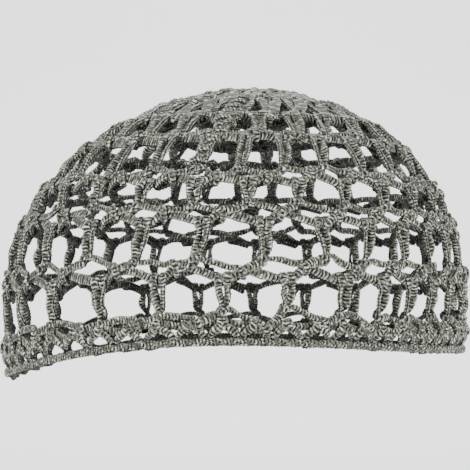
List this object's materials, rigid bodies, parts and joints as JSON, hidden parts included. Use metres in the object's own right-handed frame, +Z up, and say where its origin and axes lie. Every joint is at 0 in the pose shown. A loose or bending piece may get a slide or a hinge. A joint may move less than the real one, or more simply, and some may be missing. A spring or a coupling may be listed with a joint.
{
  "type": "crochet hair snood",
  "caption": "Round crocheted hair net of grey-green ribbon yarn with large open meshes below a gathered crown and a close-worked rim band, in the form it has on a head.",
  "frame": {"origin": "point inside the crown that rests on the top of the head, at the middle of the ring that the work starts from", "axes": "+Z up out of the crown, the front of the head towards -Y, +X to the right as seen from the front"},
  "size_m": [0.1646, 0.1949, 0.103],
  "materials": {
    "ribbon_yarn": "grey-green knitted ribbon yarn with pale flecks and a faint metallic sheen"
  },
  "bodies": {
    "root": {"start_ring": "ribbon_yarn", "crown_gather": "ribbon_yarn", "mesh_round_1": "ribbon_yarn", "mesh_round_2": "ribbon_yarn", "mesh_round_3": "ribbon_yarn", "mesh_round_4": "ribbon_yarn", "mesh_round_5": "ribbon_yarn", "band_round": "ribbon_yarn", "band_edge": "ribbon_yarn"}
  },
  "joints": []
}
